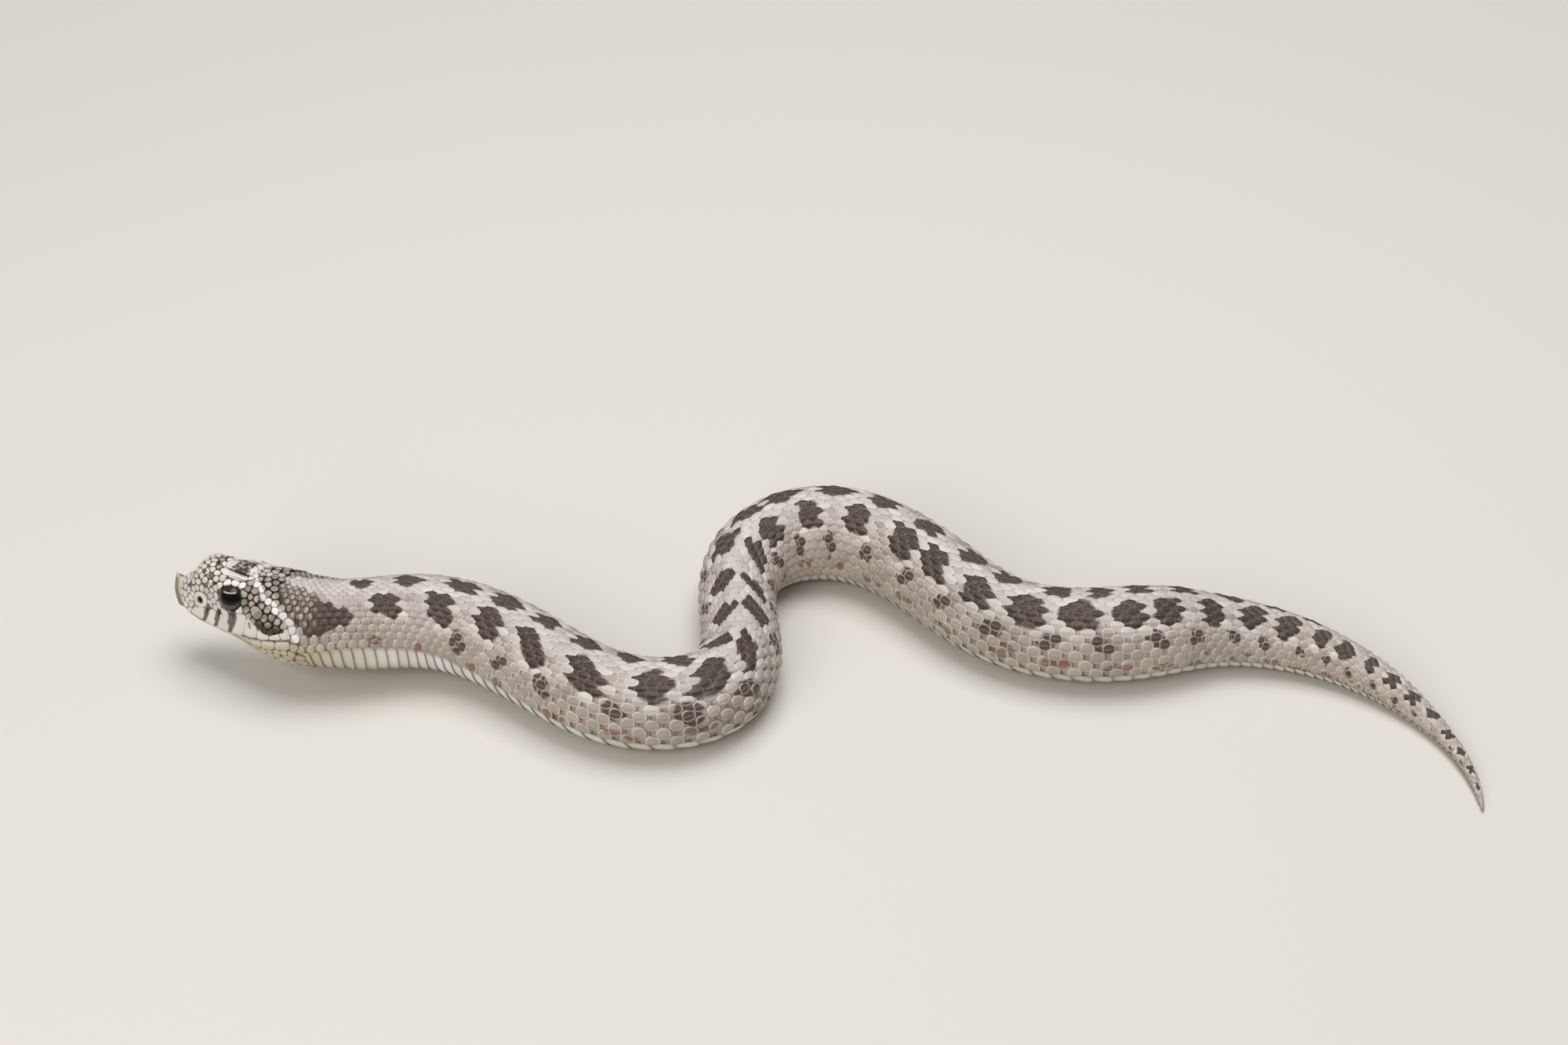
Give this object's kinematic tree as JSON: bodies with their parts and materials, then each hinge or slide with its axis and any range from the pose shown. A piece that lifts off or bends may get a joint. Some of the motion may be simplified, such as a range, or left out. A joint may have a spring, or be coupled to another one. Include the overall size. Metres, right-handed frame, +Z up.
{
  "type": "western hognose snake",
  "caption": "Young western hognose snake lying in an open S on flat ground, head slightly raised, upturned snout, mouth closed, belly flats on the floor.",
  "frame": {"origin": "centre of the footprint of the whole animal, on the floor", "axes": "+X towards the tail end, -X towards the snout, -Y towards the side that its left eye faces, +Z up"},
  "size_m": [0.1864, 0.0634, 0.0174],
  "materials": {
    "scaled_skin": "dry, keeled scales with a low satin sheen",
    "pale_belly_skin": "smooth cream scutes with a soft sheen",
    "eye": "wet gloss"
  },
  "bodies": {
    "root": {"head": "scaled_skin", "lower_jaw": "pale_belly_skin", "eye_left": "eye", "eye_right": "eye", "neck": "scaled_skin", "body_1": "scaled_skin", "body_2": "scaled_skin", "body_3": "scaled_skin", "body_4": "scaled_skin", "body_5": "scaled_skin", "body_6": "scaled_skin", "tail_base": "scaled_skin", "tail_tip": "scaled_skin"}
  },
  "joints": []
}
